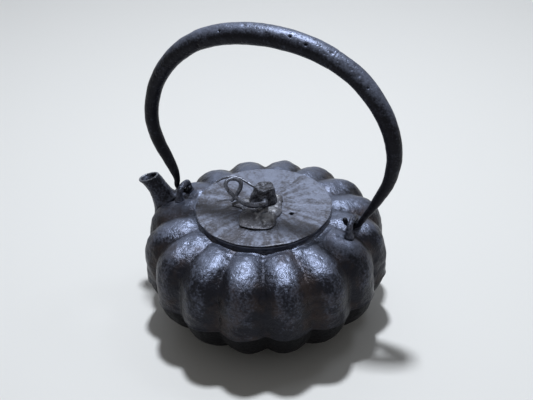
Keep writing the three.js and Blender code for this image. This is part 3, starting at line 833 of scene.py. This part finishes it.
leafPiece = addPiece("knobLeaf", leafShape()[::-1], loop=True)
dress(leafPiece, "lid", "knob_seat", ironFinish("leafIron", leafLook, leafMarks))
stalkRows, stalkLow, stalkHigh = stalkShape()
stalkPiece = addPiece("knobStalk", stalkRows, start=stalkLow, end=stalkHigh)
dress(stalkPiece, "lid", "knob_stem", stalkIron)
vinePiece("vineTendril", vine["tendril"], vine["tendrilRadii"], "vine_tendril", 71)
vinePiece("vineSprig", vine["sprig"], vine["sprigRadii"], "vine_sprig", 73)
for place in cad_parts["knob_washer"].material_slots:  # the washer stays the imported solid
    place.material = stalkIron
print("knob made")


# Handle

handle = {
    "line": [  # across the kettle and up, from the left hook's tip to the right one's
        [-63.1, 98.4], [-63.3, 95.8], [-64.7, 93.8], [-67, 93.2], [-70.4, 93.2], [-73, 94],
        [-74.5, 97.2], [-74, 102], [-75.2, 108.5], [-80.2, 120], [-86, 132], [-90, 145],
        [-90.8, 156], [-88.9, 168], [-84, 182.5], [-75.5, 197], [-64.5, 209.5], [-51.5, 219.5],
        [-37, 226.5], [-18, 231.5], [4, 233.3], [25, 231.6], [44, 227], [60, 219.7],
        [74, 210], [87.1, 194.3], [95.3, 178.7], [99.8, 160], [99.1, 146], [96.7, 135],
        [91.2, 122.6], [84.7, 109.7], [81.3, 104.3], [78.7, 99.4], [76.4, 95.3], [74.2, 93.6],
        [71.6, 93.2], [69.2, 93.2], [66.9, 93.8], [65.5, 95.8], [65.3, 98.4],
    ],
    "hinge": 93.2, "lean": 1.6, "gripEnds": (-46, 55), "gripRadii": [7.5, 7.9, 8, 7.9, 7.6],
    "gripRows": 330, "gripColumns": 144, "armRows": 420, "armColumns": 96,
    "bore": 5.6, "spigotRadius": 5.1, "spigotLength": 9.0, "gap": 0.1, "edgeDepth": 0.15, "edgeReach": 0.4,
    "leftRadii": [2, 2, 2.1, 2.5, 3.7, 4.4, 4.7, 5, 5.2, 5.4, 5.5, 5.6, 5.7, 5.8, 5.9, 6.1, 6.3, 6.5, 6.7,
                  6.9, 7.1, 7.2, 7.3],
    "rightRadii": [2, 2.1, 3, 4.1, 4.9, 5.5, 6.1, 6.5, 6.9, 7.2, 7.3, 7.4],
    "hammer": ((9.0, 0.35), (3.2, 0.18)),
}
# Dents: place across the kettle, degrees round the bar from its inner side, radius, depth
gripDents = [
    (36.5, 236, 0.8, 2.6), (25.1, 222, 0.75, 2.4), (-24.7, 232, 0.7, 2.2), (8.0, 60, 0.7, 2.2),
    (-43.0, 262, 1.5, 1.2), (-41.0, 240, 1.2, 0.9), (-44.2, 285, 1.3, 1.1), (-39.0, 275, 1.0, 0.6),
    (52.5, 214, 1.3, 0.8), (49.0, 238, 1.0, 0.6), (-8.0, 205, 1.4, 0.35), (14.0, 250, 1.1, 0.4),
]
rightDents = [
    (66.5, 228, 1.3, 0.7), (70.0, 242, 1.5, 0.9), (71.5, 224, 1.1, 0.8), (74.0, 236, 1.3, 0.6),
    (78.1, 234, 0.8, 1.6), (60.0, 245, 1.2, 0.5), (88.0, 250, 1.1, 0.5),
]
leftDents = [(-49.0, 250, 1.2, 0.7), (-62.0, 230, 1.0, 0.6), (-79.0, 255, 1.0, 0.5)]

archLine = np.insert(throughPoints(handle["line"], 60), 1, 0, axis=1)
archLength = lengthAlong(archLine)
archTangents = unit(np.gradient(archLine, archLength, axis=0))
overLid = archLine[:, 2] > 150


def archPlaceAt(x):  # distance along the arch at which it comes to a place across the kettle
    return float(np.interp(x, archLine[overLid, 0], archLength[overLid]))


def leaned(points):  # the handle leans back a little about its hinge
    angle = math.radians(handle["lean"])
    y, z = points[..., 1], points[..., 2] - handle["hinge"]
    return np.stack([points[..., 0], y * math.cos(angle) + z * math.sin(angle),
                     handle["hinge"] + z * math.cos(angle) - y * math.sin(angle)], -1)


def archRings(at, radius, columns):  # plain rings round the arch at distances along it
    tangents = unit(np.stack([np.interp(at, archLength, column) for column in archTangents.T], 1))
    return ringsAlong(pick(archLine, at), acrossY, radius, columns, tangents)


# A stretch of the arch as a bar: the radius along it less hammer marks, and less a bell-shaped
# hollow for each dent
def archBar(at, radius, dents, columns, seed):
    rows, out = archRings(at, radius, columns)
    marks = uneven(rows, handle["hammer"], seed)
    turn = np.degrees(fullTurn(columns))
    for x, angle, wide, depth in dents:
        beside = np.radians((turn - angle + 180) % 360 - 180) * radius[:, None]
        away = np.hypot(at[:, None] - archPlaceAt(x), beside) / wide
        marks = marks + depth * np.exp(-away ** 2)
    return rows - (marks * np.minimum(1, radius / 4)[:, None])[..., None] * out


def atEdge(away):  # how much a bar is thinner this far from its sharp end
    return handle["edgeDepth"] * np.exp(-away / handle["edgeReach"])


handleLook = {
    **bodyLook, "mottleScale": 200.0, "grainScale": 700.0, "paleFrom": 0.5, "paleSoft": 0.45,
    "brownFrom": 0.64, "brownShare": 0.6, "dark": shade(0.009, 0.009, 0.013),
    "pale": shade(0.145, 0.162, 0.222), "brown": shade(0.022, 0.016, 0.014), "metal": 0.6,
    "rough": 0.36, "roughSpread": 0.14, "mottleHeight": 0.4, "grainHeight": 0.22, "poreHeight": 0.25,
    # the outer side high up is paler: partly rubbed, partly a painted highlight
    "bump": 0.75, "archMiddle": (0.004, 0.15), "archHalf": (0.097, 0.0833), "outer": (1.01, 1.09),
    "highFrom": 0.15, "highTo": 0.21,
}


# The handle's marks: its outer side high up is paler, partly rubbed by use and partly a painted
# highlight. An ellipse near the arch's line tells the outer side from the inner.
def handleMarks(f, here):
    x, y, z = f.axes(here)
    across = (x - handleLook["archMiddle"][0]) * (1 / handleLook["archHalf"][0])
    up = (z - handleLook["archMiddle"][1]) * (1 / handleLook["archHalf"][1])
    outer = f.ramp((across * across + up * up) ** 0.5, *handleLook["outer"])
    # paler outer side high up: partly rubbed, partly a painted highlight
    return {"pale": outer * f.ramp(z, handleLook["highFrom"], handleLook["highTo"]) * handleLook["patinaSheen"]}


handleIron = ironFinish("handleIron", handleLook, handleMarks)

gripFrom, gripTo = [archPlaceAt(x) for x in handle["gripEnds"]]
gripAt = np.linspace(gripFrom, gripTo, handle["gripRows"])
gripRadius = listAt(handle["gripRadii"], handle["gripRows"])
gripRadius = gripRadius - atEdge(np.minimum(gripAt - gripFrom, gripTo - gripAt))
gripOutside = archBar(gripAt, gripRadius, gripDents, handle["gripColumns"], 81)
boreRows, _ = archRings(np.linspace(gripTo, gripFrom, 40), np.full(40, handle["bore"]), handle["gripColumns"])
gripPiece = addPiece("handleGrip", leaned(np.concatenate([gripOutside, boreRows])), loop=True)
gripPiece.data.set_sharp_from_angle(angle=math.radians(60))
dress(gripPiece, "handle", "handle_grip", handleIron)


# An arm: from the round tip of its hook to the grip, then a step down to its spigot
def armPiece(name, tip, join, radii, dents, node, seed):
    way = math.copysign(1, join - tip)
    top = join - way * handle["gap"]
    at = np.linspace(tip, top, handle["armRows"])
    radius = roundEnds(listAt(radii, handle["armRows"]), np.abs(at - tip), atEnd=False)
    rows = archBar(at, radius - atEdge(np.abs(top - at)), dents, handle["armColumns"], seed)
    spigotAt = np.linspace(top, join + way * handle["spigotLength"], 8)
    spigot = archBar(spigotAt, np.full(8, handle["spigotRadius"]), [], handle["armColumns"], seed)
    rows = leaned(np.concatenate([rows, spigot]))
    if way < 0:  # the right arm runs the other way, and its faces would point inwards
        rows = rows[:, ::-1]
    piece = addPiece(name, rows, start=rows[0].mean(0), end=rows[-1].mean(0))
    piece.data.set_sharp_from_angle(angle=math.radians(60))
    dress(piece, "handle", node, handleIron)


armPiece("armLeft", 0.0, gripFrom, handle["leftRadii"], leftDents, "handle_arm_left", 91)
armPiece("armRight", archLength[-1], gripTo, handle["rightRadii"], rightDents, "handle_arm_right", 95)
print("handle made")


# Floor, light and camera

stage = {
    "floorRadius": 6000.0, "floorDrop": 0.05, "floorColour": shade(0.69, 0.665, 0.63), "floorRough": 0.6,
    "worldLight": shade(0.95, 0.98, 1.0), "worldStrength": 0.17, "worldSeen": shade(0.42, 0.42, 0.42),
    "lampsAim": 0.08,  # height that the lamps look at
    "lamps": {  # degrees round from +X, degrees above the floor, distance, size, power and colour
        "overhead": (110, 80, 1.3, (0.11, 0.1), 20.0, (0.84, 0.91, 1.0)),
        "behind": (121, 35, 1.5, (1.5, 0.5), 2.4, (0.78, 0.87, 1.0)),
        "right": (48, 62, 1.4, (0.3, 0.2), 1.3, (0.8, 0.89, 1.0)),
    },
}
camera = {
    "place": (0.23270, -0.50271, 0.47593), "aim": (0.00144, 0.00259, 0.09807), "roll": -2.83,
    "lens": 59.44, "sensor": 36.0,
}

floorRing = aboutZ(stage["floorRadius"], fullTurn(96), -stage["floorDrop"])[None]
floorPiece = addPiece("floor", floorRing, end=(0, 0, -stage["floorDrop"]))
floorFinish = Finish("floorFinish")
floorShader = floorFinish.node("ShaderNodeBsdfPrincipled", values={
    "Base Color": stage["floorColour"], "Roughness": stage["floorRough"]})
floorFinish.node("ShaderNodeOutputMaterial", values={"Surface": floorShader})
floorPiece.data.materials.append(floorFinish.data)

# The world lights the kettle softly, and shows as plain grey to the camera and in reflections
world = bpy.data.worlds.new("studio")
bpy.context.scene.world = world
sky = Finish("studio", world)
rays = sky.node("ShaderNodeLightPath")
seen = sky.number("MAXIMUM", rays, rays.other("Is Glossy Ray"))
seen = sky.number("MAXIMUM", seen, rays.other("Is Transmission Ray"))
lit = sky.node("ShaderNodeBackground", values={
    "Color": stage["worldLight"], "Strength": stage["worldStrength"]})
shown = sky.node("ShaderNodeBackground", values={"Color": stage["worldSeen"], "Strength": 1.0})
both = sky.node("ShaderNodeMixShader", values={0: seen, 1: lit, 2: shown})
sky.node("ShaderNodeOutputWorld", values={"Surface": both})


def softBox(name, around, above, distance, size, power, colour):
    data = bpy.data.lights.new(name, "AREA")
    data.shape, data.size, data.size_y = "RECTANGLE", size[0], size[1]
    data.energy, data.color = power, colour
    lamp = addObject(name, data)
    level, up = math.cos(math.radians(above)), math.sin(math.radians(above))
    away = Vector((level * math.cos(math.radians(around)), level * math.sin(math.radians(around)), up))
    lamp.location = away * distance + Vector((0, 0, stage["lampsAim"]))
    lamp.rotation_mode = "QUATERNION"
    lamp.rotation_quaternion = away.to_track_quat("Z", "Y")


for name, values in stage["lamps"].items():
    softBox(name, *values)

eye = bpy.data.cameras.new("camera")
eye.lens, eye.sensor_width = camera["lens"], camera["sensor"]
cameraPiece = addObject("camera", eye)
cameraPiece.location = camera["place"]
cameraPiece.rotation_mode = "QUATERNION"
looking = Vector(camera["aim"]) - Vector(camera["place"])
rollTurn = Quaternion((0, 0, 1), math.radians(camera["roll"]))
cameraPiece.rotation_quaternion = looking.to_track_quat("-Z", "Y") @ rollTurn
bpy.context.scene.camera = cameraPiece
bpy.context.scene.view_settings.view_transform = "Standard"
print("stage set")
